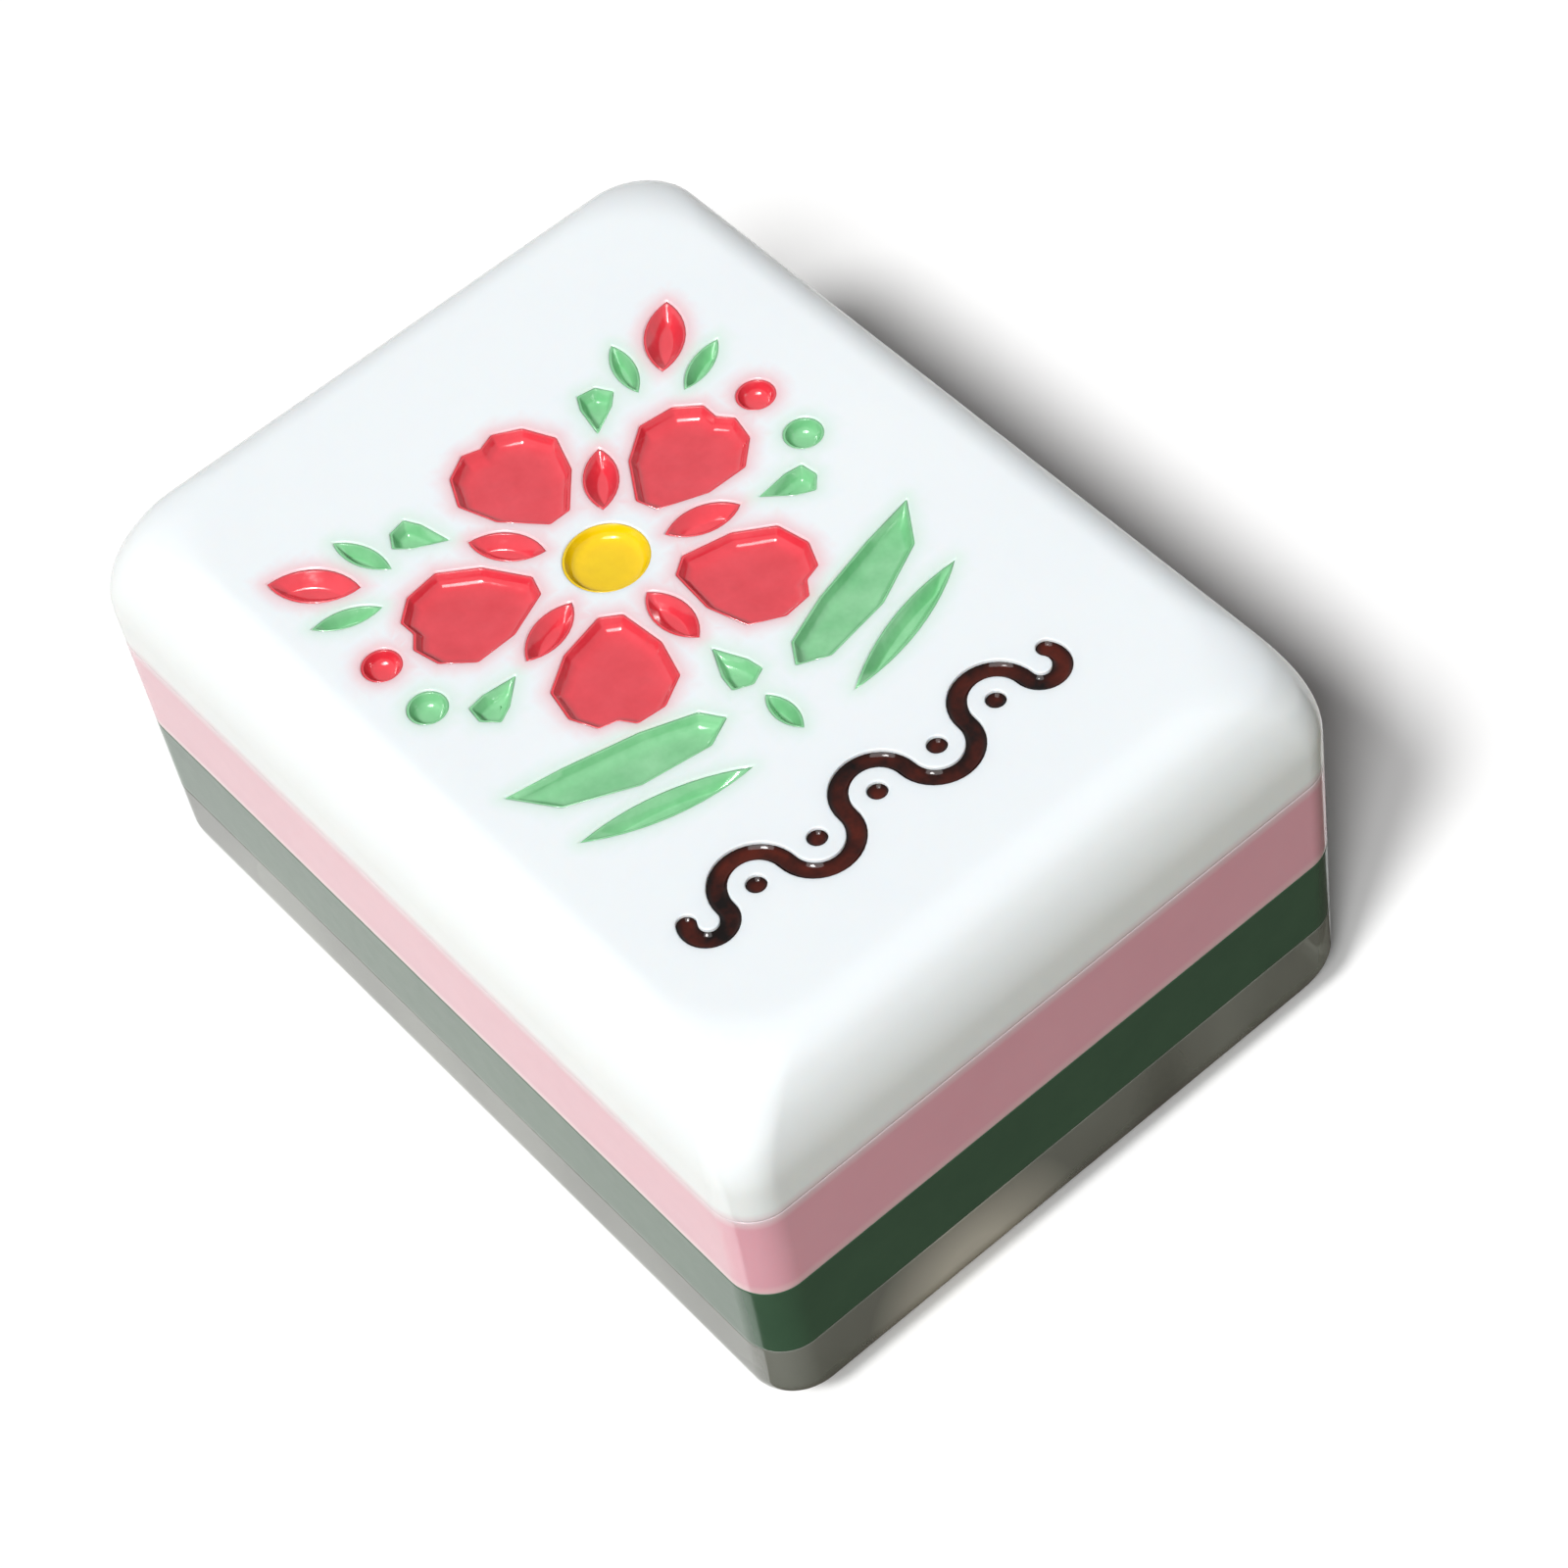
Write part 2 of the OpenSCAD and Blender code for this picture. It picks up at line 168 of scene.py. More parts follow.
def rounded(points, radii, steps):
    """A line through flat points whose inner corners are arcs."""
    line = [Vector(points[0])]
    for before, corner, after, radius in zip(points, points[1:], points[2:], radii):
        come = (Vector(corner) - Vector(before)).normalized()
        go = (Vector(after) - Vector(corner)).normalized()
        bend = come.angle(go)
        inwards = (go - come * math.cos(bend)) / math.sin(bend)
        start = Vector(corner) - come * radius * math.tan(bend / 2)
        for i in range(steps + 1):
            part = bend * i / steps
            line.append(start + radius * (come * math.sin(part) + inwards * (1 - math.cos(part))))
    line.append(Vector(points[-1]))
    return line


def with_corners(section, width, end_r):
    """Adds to each (inwards, height) point a corner radius, which grows to end_r over a width."""
    return [(q.x, q.y, CORNER_R + (end_r - CORNER_R) * q.x / width) for q in section]


def draw_outline_at(bm, inwards, z, radius):
    """Draws the block's outline at a height and returns its edges."""
    before = set(bm.edges)
    arcs = []
    for quarter, (x_side, y_side) in enumerate(CORNERS):
        centre = Vector((
            x_side * (TILE_W / 2 - inwards - radius), y_side * (TILE_L / 2 - inwards - radius), z))
        way = Matrix.Rotation(math.radians(90 * quarter), 3, "Z")
        first = bm.verts.new(centre + way @ Vector((radius, 0, 0)))
        arcs.append((first, spin(bm, [first], centre, 90, CORNER_STEPS)[0]))
    for (_, last), (first, _) in zip(arcs, arcs[1:] + arcs[:1]):
        bm.edges.new((last, first))
    return [e for e in bm.edges if e not in before]


# %% [markdown]
# At the joints each layer gets a rounding as fine as a hair, which catches a thin line of light as
# the real seam does. One more outline close beside it keeps the flat side's shading flat. The clear
# foot has no air between it and the green layer, so its top is drawn a trace inside the green: light
# within the foot then meets the green itself and not a mirror.


# %% The layers' skins
ARC_STEPS = 14
JOINT_STEPS = 3


def skin(outlines):
    """Bridges (inwards, height, radius) outlines from the lowest to the highest."""
    bm = bmesh.new()
    edges, last = None, None
    for outline in outlines:
        if last and (Vector(outline) - Vector(last)).length < SAME_SPOT:
            continue
        above = draw_outline_at(bm, *outline)
        if edges:
            bmesh.ops.bridge_loops(bm, edges=edges + above)
        edges, last = above, outline
    return bm


def joint(z, way):
    """The outlines at a layer's lower joint (way 1) or its upper joint (way -1), upwards."""
    side = z + way * (JOINT_R + JOINT_HOLD)
    section = rounded([(JOINT_R, z), (0, z), (0, side)], [JOINT_R], JOINT_STEPS)
    return with_corners(section, JOINT_R, CORNER_R - JOINT_R)[::way]


def close_flat(bm, z):
    """Fills the open outline at a height."""
    rim = [e for e in bm.edges
           if len(e.link_faces) < 2 and all(abs(v.co.z - z) < SAME_LEVEL for v in e.verts)]
    bmesh.ops.contextual_create(bm, geom=rim)


# %% [markdown]
# With these the layers need only their own heights and roundings. The face's rounding reaches
# further down the side than it does inwards, so it takes two arcs: a large one up the side and a
# small one over the edge.


# %% The four layers
def middle_layer(bottom_z, top_z):
    """A layer with upright sides between two joints."""
    bm = skin(joint(bottom_z, 1) + joint(top_z, -1))
    close_flat(bm, bottom_z)
    close_flat(bm, top_z)
    return bm


def clear_foot():
    """The bottom layer, whose top reaches a trace into the layer above."""
    section = rounded([(FOOT_R, CLEAR_Z), (0, CLEAR_Z), (0, CLEAR_Z + FOOT_R)], [FOOT_R],
                      2 * ARC_STEPS)
    top_z = GREEN_Z + BOND_IN
    bm = skin(with_corners(section, FOOT_R, FOOT_CORNER_R) + joint(GREEN_Z, -1)
              + [(JOINT_R, top_z, CORNER_R - JOINT_R)])
    close_flat(bm, CLEAR_Z)
    close_flat(bm, top_z)
    return bm


def white_block():
    """The face layer before it is engraved, open at the top inside its rounding."""
    lean = 2 * math.atan((TOP_IN - FACE_R) / (EDGE_DROP - FACE_R))
    side_r = FACE_R + (EDGE_DROP - FACE_R) / math.sin(lean)
    side_corner = (0, FACE_Z - EDGE_DROP + side_r * math.tan(lean / 2))
    face_corner = (TOP_IN - FACE_R * math.tan((math.pi / 2 - lean) / 2), FACE_Z)
    section = rounded([(0, FACE_Z - EDGE_DROP), side_corner, face_corner, (TOP_IN, FACE_Z)],
                      [side_r, FACE_R], ARC_STEPS)
    bm = skin(joint(WHITE_Z, 1) + with_corners(section, TOP_IN, FACE_CORNER_R))
    close_flat(bm, WHITE_Z)
    return bm


# %% [markdown]
# ## The artwork's cells
#
# The picture is built of small engraved cells with bare strips between them, like cloisons: five
# notched petals round a yellow centre, slim leaves between them, and the stem, leaves, buds and
# berries below and beside. Each cell is drawn once at home, with its foot at the origin and its tip
# along +X, and a matrix carries it to its place. A cell is either a few points, given as shares of
# its length and width, or a pointed leaf of two arcs, or a circle.

# %% The cells' sizes
ART_X = -0.8
BLOSSOM_Y = 2.4
CUT_DEPTH = 0.5
CUT_RUN = 0.2  # how far inwards the walls run on their way down
CREASE_SHARE = 0.7  # the same on a slim cell, as a share of its half width
CELL_GAP = 0.45
CENTRE_R = 1.3
CENTRE_SIZE = (2 * CENTRE_R, 2 * CENTRE_R)
INNER_SIZE = (2.45, 1.15)
PETAL_SIZE = (4.0, 3.7)
SEPAL_SIZE = (1.9, 1.15)
STEM_SIZE = (1.7, 0.7)
BROAD_SIZE = (6.6, 1.75)
SLIM_SIZE = (5.4, 0.95)
BUD_SIZE = (2.9, 1.35)
SPRIG_SIZE = (2.2, 0.75)
LEAF_RISE = 16
BUD_LEAN = 42
SPRIG_LEAN = 25
BUD_SHIFT = Vector((0.15, 0.65, 0))
BERRY_R = 0.62
BERRY_SIZE = (2 * BERRY_R, 2 * BERRY_R)
BERRY_GAP = 0.5
PETALS = 5
PETAL_TURN = 360 / PETALS

SHOULDER_SHARE = (0.88, 0.37)
PETAL_SHARES = [
    (0, -0.1), (0.3, -0.38), (0.62, -0.5), (0.88, -0.37), (1, -0.15), (0.95, 0),
    (1, 0.15), SHOULDER_SHARE, (0.62, 0.5), (0.3, 0.38), (0, 0.1)]
SEPAL_SHARES = [(0, 0), (0.55, -0.42), (0.86, -0.5), (1, 0), (0.86, 0.5), (0.55, 0.42)]
BROAD_SHARES = [
    (0, 0.06), (0.12, -0.34), (0.46, -0.5), (0.8, -0.28), (1, 0.36),
    (0.72, 0.46), (0.36, 0.5), (0.1, 0.4)]

inner_start = CENTRE_R + CELL_GAP
sepal_start = inner_start + INNER_SIZE[0] + CELL_GAP
petal_start = CENTRE_R + INNER_SIZE[0] / 3
petal_tip = petal_start + PETAL_SIZE[0]
stem_top = BLOSSOM_Y - sepal_start - SEPAL_SIZE[0] - CELL_GAP
print(f"the blossom is {2 * petal_tip:.1f} mm across")

# %% [markdown]
# The matrices repeat the layout of the solids. The two lowest petals set how low the leaves hang,
# the shoulders of the side petals carry the buds, and their tips place the berries.


# %% Where leaves, buds and berries go
def shift(x, y, z=0):
    return Matrix.Translation((x, y, z))


def turned(degrees):
    return Matrix.Rotation(math.radians(degrees), 4, "Z")


half_turn = math.radians(PETAL_TURN / 2)
low_tip = Vector((petal_tip * math.sin(half_turn), BLOSSOM_Y - petal_tip * math.cos(half_turn)))
leaf_slope = math.tan(math.radians(LEAF_RISE))
leaf_foot = STEM_SIZE[1] / 2 + 2 * CELL_GAP
leaf_level = (low_tip.y - CELL_GAP - BROAD_SIZE[1] / 2 / math.cos(math.radians(LEAF_RISE))
              - low_tip.x * leaf_slope)
leaf_at = shift(ART_X + leaf_foot, leaf_level + leaf_foot * leaf_slope) @ turned(LEAF_RISE)
slim_sink = BROAD_SIZE[1] / 2 + CELL_GAP + SLIM_SIZE[1] / 2
leaf_low = (leaf_at.translation.y
            - (slim_sink + SLIM_SIZE[1] / 2) * math.cos(math.radians(LEAF_RISE)))
shoulder = turned(90 - PETAL_TURN) @ Vector(
    (petal_start + SHOULDER_SHARE[0] * PETAL_SIZE[0], SHOULDER_SHARE[1] * PETAL_SIZE[1], 0))
bud_at = (Matrix.Translation(Vector((ART_X, BLOSSOM_Y, 0)) + BUD_SHIFT + shoulder)
          @ turned(90 - BUD_LEAN))
berry_x = petal_tip * math.sin(math.radians(PETAL_TURN)) + BERRY_GAP + BERRY_R
berry_high = BLOSSOM_Y + petal_tip * math.cos(math.radians(PETAL_TURN)) - BERRY_R / 2
berry_low = berry_high - 2 * BERRY_R - 2 * CELL_GAP
print(f"the leaves hang down to y = {leaf_low:.1f} mm")

# %% [markdown]
# Each cell is noted with the name of its piece, the CAD node that it stands for, its outline, its
# paint and its place. The blossom turns one set of cells about its centre. The left half of the
# rest mirrors the right half across the artwork's middle line.

# %% The list of cells
Cell = namedtuple("Cell", "name node kind shape size run paint matrix")
cells = []


def add_cell(part, kind, size, paint, matrix, shape=None, number=""):
    """Notes a cell of kind points, leaf or round."""
    run = CREASE_SHARE * size[1] / 2 if kind == "leaf" else CUT_RUN
    cells.append(Cell(f"{part}_lacquer{number}", f"{part}_paint{number}", kind, shape, size, run,
                      paint, matrix))


def round_blossom(start, degrees):
    """Carries a cell's foot to a distance from the blossom's middle, pointing outwards."""
    return shift(ART_X, BLOSSOM_Y) @ turned(degrees) @ shift(start, 0)


add_cell("centre", "round", CENTRE_SIZE, "yellow_paint", shift(ART_X, BLOSSOM_Y))
for i in range(PETALS):
    number, way = f"_{i + 1}", 90 + PETAL_TURN * i
    between = 90 + PETAL_TURN * (i + 0.5)
    add_cell("petal", "points", PETAL_SIZE, "red_paint", round_blossom(petal_start, way),
             PETAL_SHARES, number)
    add_cell("inner_petal", "leaf", INNER_SIZE, "red_paint", round_blossom(inner_start, between),
             number=number)
    add_cell("sepal", "points", SEPAL_SIZE, "green_paint", round_blossom(sepal_start, between),
             SEPAL_SHARES, number)
add_cell("stem", "leaf", STEM_SIZE, "green_paint", shift(ART_X, stem_top) @ turned(-90))
wing = [
    ("leaf_broad", "points", BROAD_SIZE, "green_paint", leaf_at, BROAD_SHARES),
    ("leaf_slim", "leaf", SLIM_SIZE, "green_paint", leaf_at @ shift(0, -slim_sink), None),
    ("bud", "leaf", BUD_SIZE, "red_paint", bud_at @ shift(SPRIG_SIZE[1], 0), None),
    ("sprig_low", "leaf", SPRIG_SIZE, "green_paint",
     bud_at @ shift(0, -BUD_SIZE[1] / 2) @ turned(-SPRIG_LEAN), None),
    ("sprig_high", "leaf", SPRIG_SIZE, "green_paint",
     bud_at @ shift(0, BUD_SIZE[1] / 2) @ turned(SPRIG_LEAN), None),
    ("berry_red", "round", BERRY_SIZE, "red_paint", shift(ART_X + berry_x, berry_high), None),
    ("berry_green", "round", BERRY_SIZE, "green_paint", shift(ART_X + berry_x, berry_low), None),
]
mirrored = shift(2 * ART_X, 0) @ Matrix.Scale(-1, 4, (1, 0, 0))
for side, half in (("left", mirrored), ("right", Matrix())):
    for part, kind, size, slot, at, shape in wing:
        add_cell(f"{side}_{part}", kind, size, slot, half @ at, shape)
print("cells:", len(cells))

# %% [markdown]
# ## Cutting a pocket and laying the paint in it
#
# Both the pocket in the face and the paint that lines it start from the same flat outline and go
# down in steps. On an outline of points each step is an inset, which keeps the strip equally wide.
# On a pointed leaf an inset would fold over at the sharp ends, so there the face is extruded and
# drawn in along its length and width instead, and the tips simply run in a little more.


# %% Outlines and steps
LEAF_STEPS = 12
ROUND_STEPS = 40


def leaf_angle(size):
    """Half the turn of each of a leaf's two arcs, in radians, and the radius of the arcs."""
    length, width = size
    radius = (length * length + width * width) / (4 * width)
    return math.asin(length / 2 / radius), radius


def draw_outline(bm, cell):
    """Draws a cell's outline at home as one face and returns it."""
    length, width = cell.size
    if cell.kind == "round":
        bmesh.ops.create_circle(bm, cap_ends=True, radius=width / 2, segments=ROUND_STEPS)
    elif cell.kind == "points":
        bm.faces.new([bm.verts.new((x * length, y * width, 0)) for x, y in cell.shape])
    else:
        half, radius = leaf_angle(cell.size)
        foot = bm.verts.new((0, 0, 0))
        for way in (1, -1):
            centre = (length / 2, way * (radius - width / 2), 0)
            spin(bm, [foot], centre, way * 2 * math.degrees(half), LEAF_STEPS)
        bmesh.ops.remove_doubles(bm, verts=bm.verts, dist=SAME_SPOT)
        bmesh.ops.contextual_create(bm, geom=bm.edges[:])
    face = bm.faces[:][0]
    face.normal_update()
    if face.normal.z < 0:
        face.normal_flip()
    return face


def step_in(bm, face, cell, inwards, drop):
    """Takes the face of an outline inwards and down by one step of wall."""
    if cell.kind != "leaf":
        bmesh.ops.inset_region(bm, faces=[face], thickness=inwards, depth=-drop, use_boundary=True,
                               use_even_offset=True)
        return face
    length = max(v.co.x for v in face.verts) - min(v.co.x for v in face.verts)
    width = max(v.co.y for v in face.verts) - min(v.co.y for v in face.verts)
    at_tip = inwards / math.sin(leaf_angle(cell.size)[0])
    new = bmesh.ops.extrude_discrete_faces(bm, faces=[face])["faces"][0]
    middle = Matrix.Translation((-cell.size[0] / 2, 0, 0))
    bmesh.ops.scale(bm, vec=(1 - 2 * at_tip / length, 1 - 2 * inwards / width, 1), space=middle,
                    verts=new.verts)
    bmesh.ops.translate(bm, vec=(0, 0, -drop), verts=new.verts)
    return new


# %% [markdown]
# A real engraver's cut has a soft rim, and paint gathers in the bottom of its walls. Both are drawn
# first as a short section of (inwards, down) points whose corners are rounded with true arcs. The
# outline's face is then pressed through the section point by point, and its sharp upright corners
# get a bevel, because no milling cutter leaves them sharp.

# %% Sections of the walls
RIM_R = 0.045
RIM_HOLD = 0.04
WALL_STEPS = 4
CORNER_CUT = 0.06
CORNER_CUTS = 3


def begin(bm, cell, section):
    """The outline's face where a section starts, before any wall is made."""
    face = step_in(bm, draw_outline(bm, cell), cell, section[0].x, section[0].y)
    spare = [f for f in bm.faces if f is not face]
    bmesh.ops.delete(bm, geom=spare, context="FACES")
    return face


def press(bm, face, cell, section):
    """Presses a face down through a section."""
    for start, end in zip(section, section[1:]):
        if (end - start).length > SAME_SPOT:
            face = step_in(bm, face, cell, end.x - start.x, end.y - start.y)


def soften_corners(bm):
    """Bevels the corners that run down the walls."""
    upright = [e for e in bm.edges if abs(e.verts[0].co.z - e.verts[1].co.z) > SAME_SPOT]
    bmesh.ops.bevel(bm, geom=upright, offset=CORNER_CUT, offset_type="OFFSET", affect="EDGES",
                    segments=CORNER_CUTS, profile=0.5, material=-1, clamp_overlap=False)


# %% [markdown]
# The paint is a film, not a block: it starts a trace below the rim, follows the walls and lies on
# the floor of the pocket. Its upper skin has a rounded lip and a wide cove at the floor. Its lower
# skin has the pocket's own slope, so the film touches the acrylic all over.

# %% Pockets and films of paint
FILM_T = 0.07
FILM_DROP = 0.05
LIP_R = 0.025
COVE_R = 0.3
COVE_SHARES = {"points": 0.5, "leaf": 0.8, "round": 0.8}  # the most, of the floor's half width


def of_type(geometry, kind):
    """The items of one kind in what an operator returns."""
    return [item for item in geometry if isinstance(item, kind)]


def cut_pocket(cell):
    """The pocket of one cell, open at the top, with a strip of flat face round its rim."""
    bm = bmesh.new()
    section = rounded([(-RIM_R - RIM_HOLD, 0), (0, 0), (cell.run, CUT_DEPTH)], [RIM_R], WALL_STEPS)
    press(bm, begin(bm, cell, section), cell, section)
    if cell.kind == "points":
        soften_corners(bm)
    bmesh.ops.transform(bm, matrix=shift(0, 0, FACE_Z) @ cell.matrix, verts=bm.verts)
    return bm


def lay_paint(cell):
    """The film of paint that lines a pocket, as a closed shell."""
    bm = bmesh.new()
    slope = cell.run / CUT_DEPTH
    lip = slope * FILM_DROP
    floor_level = CUT_DEPTH - FILM_T
    floor_in = slope * floor_level + FILM_T
    cove = min(COVE_R, COVE_SHARES[cell.kind] * (cell.size[1] / 2 - floor_in))
    inside = rounded([(lip, FILM_DROP), (lip + FILM_T, FILM_DROP), (floor_in, floor_level),
                      (floor_in + cove, floor_level)], [LIP_R, cove], WALL_STEPS)
    top = begin(bm, cell, inside)
    under = of_type(bmesh.ops.duplicate(bm, geom=[top])["geom"], bmesh.types.BMFace)[0]
    press(bm, top, cell, inside)
    if cell.kind == "points":
        soften_corners(bm)
    press(bm, under, cell, [Vector((lip, FILM_DROP)), Vector((cell.run, CUT_DEPTH))])
    bmesh.ops.transform(bm, matrix=shift(0, 0, FACE_Z) @ cell.matrix, verts=bm.verts)
    return bm


# %% [markdown]
# ## The row of waves
#
# Below the flower runs one round-bottomed line: a hook, five half waves that turn one way and the
# other, and a second hook. It is a cross-section that travels, so it is drawn once and spun about
# the middle of each arc in turn. Half of the section spun half a turn rounds off each end, and
# spun all the way it makes the dots in the waves.

# %% The line's route and sections
ROW_GAP = 1.2
WAVE_R = 1.08
WAVES = 5
HOOK_R = 0.6
HOOK_TURN = 215
LINE_R = 0.29
LINE_DEPTH = 0.45
LINE_DROP = 0.1  # how far the paint's rim lies below the face
LINE_DISH = 0.1  # and its middle below that rim
DISH_BEND = 0.7
DOT_R = 0.3
SECTION_STEPS = 6
TURN_STEP = 9

row_start = Vector((ART_X - WAVES * WAVE_R, leaf_low - ROW_GAP - LINE_R - WAVE_R, 0))
row_turns = [(HOOK_TURN, HOOK_R)]
row_turns += [(180 if i % 2 else -180, WAVE_R) for i in range(WAVES)]
row_turns += [(HOOK_TURN, HOOK_R)]
hook_end = 360 - HOOK_TURN
line_start = row_start + Vector((-HOOK_R, 0, 0)) + turned(hook_end) @ Vector((HOOK_R, 0, 0))
print("the line runs through", len(row_turns), "arcs")


def groove_half(radius):
    """Half the section of a groove, from its bottom to the flat face outside its rim."""
    outside = radius + RIM_R + RIM_HOLD
    return rounded([(0, -LINE_DEPTH), (radius, -LINE_DEPTH), (radius, 0), (outside, 0)],
                   [radius, RIM_R], SECTION_STEPS)


def paint_half(radius):
    """Half the section of the paint in a groove, whose top is dished out to half its width."""
    dish = -LINE_DROP - LINE_DISH
    return rounded([(0, dish), (radius / 2, dish), (radius, -LINE_DROP), (radius, -LINE_DEPTH),
                    (0, -LINE_DEPTH)], [DISH_BEND * radius, LIP_R / 2, radius], SECTION_STEPS)


# %% [markdown]
# A spin needs the section as loose edges that stand across the line. The line has both halves,
# which are drawn at its start and carried on from arc to arc.


# %% The line and the dots
def draw_half(bm, half, at, heading, side):
    """Draws half a section across a line, on its left (side 1) or its right (side -1)."""
    place = Matrix.Translation(at + Vector((0, 0, FACE_Z))) @ turned(heading)
    drawn = [bm.verts.new(place @ Vector((0, side * out, z))) for out, z in half]
    return drawn + [bm.edges.new(ends) for ends in zip(drawn, drawn[1:])]


def run_line(half):
    """Sends a section along the whole row, with a round end at both hooks."""
    bm = bmesh.new()
    at, heading = line_start, hook_end + 90
    spin(bm, draw_half(bm, half, at, heading, 1), at, 180, 180 // TURN_STEP)
    front = draw_half(bm, half, at, heading, 1) + draw_half(bm, half, at, heading, -1)
    for degrees, radius in row_turns:
        way = 1 if degrees > 0 else -1
        centre = at + turned(heading) @ Vector((0, way * radius, 0))
        front = spin(bm, front, centre, degrees, round(abs(degrees) / TURN_STEP))
        at = centre + turned(degrees) @ (at - centre)
        heading += degrees
    spin(bm, draw_half(bm, half, at, heading, -1), at, 180, 180 // TURN_STEP)
    bmesh.ops.remove_doubles(bm, verts=bm.verts, dist=SAME_SPOT)
    return bm


def turn_dot(half, i):
    """Spins a section into the dot of one half wave."""
    bm = bmesh.new()
    at = row_start + Vector(((2 * i - 1) * WAVE_R, 0, 0))
    spin(bm, draw_half(bm, half, at, 0, 1), at, 360, 360 // TURN_STEP)
    bmesh.ops.remove_doubles(bm, verts=bm.verts, dist=SAME_SPOT)
    return bm


# %% [markdown]
# ## Engraving the white block
#
# The pockets could be cut with booleans, but those leave slivers on a tile as small as this. So they
# are joined to the block by one fill: every edge that is still open at the level of the face, the
# block's own rim and the rims of all the pockets, bounds a single flat surface with holes. Then fine
# cuts along and across give that surface points of its own. They carry a number that tells how near
# the red or green paint is. The material uses it to paint a tinted glow round each cell, because
# light that enters translucent plastic beside a painted cell comes out tinted.

# %% Joining pockets and face
GRID = 0.35
TINT_REACH = 0.6
TINT_FALL = 1.5


def take_in(bm, other):
    """Adds another bmesh to this one."""
    mesh = bpy.data.meshes.new("passing")
    other.to_mesh(mesh)
    other.free()
    bm.from_mesh(mesh)
    bpy.data.meshes.remove(mesh)


def engrave(bm):
    """Opens every cell and groove in the block's face and returns the flat rest of it."""
    for cell in cells:
        take_in(bm, cut_pocket(cell))
    take_in(bm, run_line(groove_half(LINE_R)))
    for i in range(1, WAVES + 1):
        take_in(bm, turn_dot(groove_half(DOT_R), i))
    bmesh.ops.remove_doubles(bm, verts=bm.verts, dist=SAME_SPOT)
    rims = [e for e in bm.edges if len(e.link_faces) == 1]
    filled = bmesh.ops.triangle_fill(bm, edges=rims, use_beauty=True, use_dissolve=False)
    return of_type(filled["geom"], bmesh.types.BMFace)


def cut_grid(bm, flat):
    """Cuts the flat face along and across, so that it has points to carry a tint."""
    for axis, reach in (((1, 0, 0), TILE_W / 2 - TOP_IN), ((0, 1, 0), TILE_L / 2 - TOP_IN)):
        for i in range(1, int(2 * reach / GRID)):
            edges = {e for f in flat for e in f.edges}
            verts = {v for f in flat for v in f.verts}
            cut = bmesh.ops.bisect_plane(
                bm, geom=flat + list(edges | verts), dist=SAME_LEVEL,
                plane_co=Vector(axis) * (i * GRID - reach), plane_no=axis)
            flat = of_type(cut["geom"], bmesh.types.BMFace)
    print("flat face:", len(flat), "faces")


def mark_nearness(bm, name, films):
    """Stores how near each point is to some paint, from 0 at a distance to 1 beside it."""
    tree = BVHTree.FromBMesh(films)
    layer = bm.verts.layers.float.new(name)
    for vert in bm.verts:
        distance = tree.find_nearest(vert.co)[3]
        vert[layer] = max(0, 1 - distance / TINT_REACH) ** TINT_FALL


# %% [markdown]
# ## Shader maths as Python
#
# A material's pattern is a formula, and a formula reads best as one. The small class below wraps an
# output socket, so that `1 - mask` or `mask * 0.2` adds the Math node for it. All other nodes come
# from one method, which takes the node's type, its settings, and the values or wires of its inputs.


# %% Wires and node trees
class Wire:
    """An output socket that Python can calculate with."""

    def __init__(self, tree, socket):
        self.tree = tree
        self.socket = socket

    def maths(self, operation, first, second, clamp=False):
        return self.tree.add("ShaderNodeMath", {"operation": operation, "use_clamp": clamp},
                             {0: first, 1: second})

    def __add__(self, other):
        return self.maths("ADD", self, other)

    def __sub__(self, other):
        return self.maths("SUBTRACT", self, other)

    def __rsub__(self, other):
        return self.maths("SUBTRACT", other, self)

    def __mul__(self, other):
        return self.maths("MULTIPLY", self, other)

    def clamped(self):
        """The same, but never below 0 or above 1."""
        return self.maths("ADD", self, 0, clamp=True)

    __radd__ = __add__
    __rmul__ = __mul__


class NodeTree:
    """The nodes of a material or of the world, which are added one call at a time."""

    def __init__(self, tree):
        self.nodes = tree.nodes
        self.links = tree.links

    def feed(self, socket, value):
        if isinstance(value, Wire):
            self.links.new(value.socket, socket)
        else:
            socket.default_value = value

    def add(self, kind, settings=None, inputs=None, output=0):
        """Adds a node and returns a wire from one of its outputs."""
        node = self.nodes.new(kind)
        for name, value in (settings or {}).items():
            setattr(node, name, value)
        for name, value in (inputs or {}).items():
            self.feed(node.inputs[name], value)
        return Wire(self, node.outputs[output])
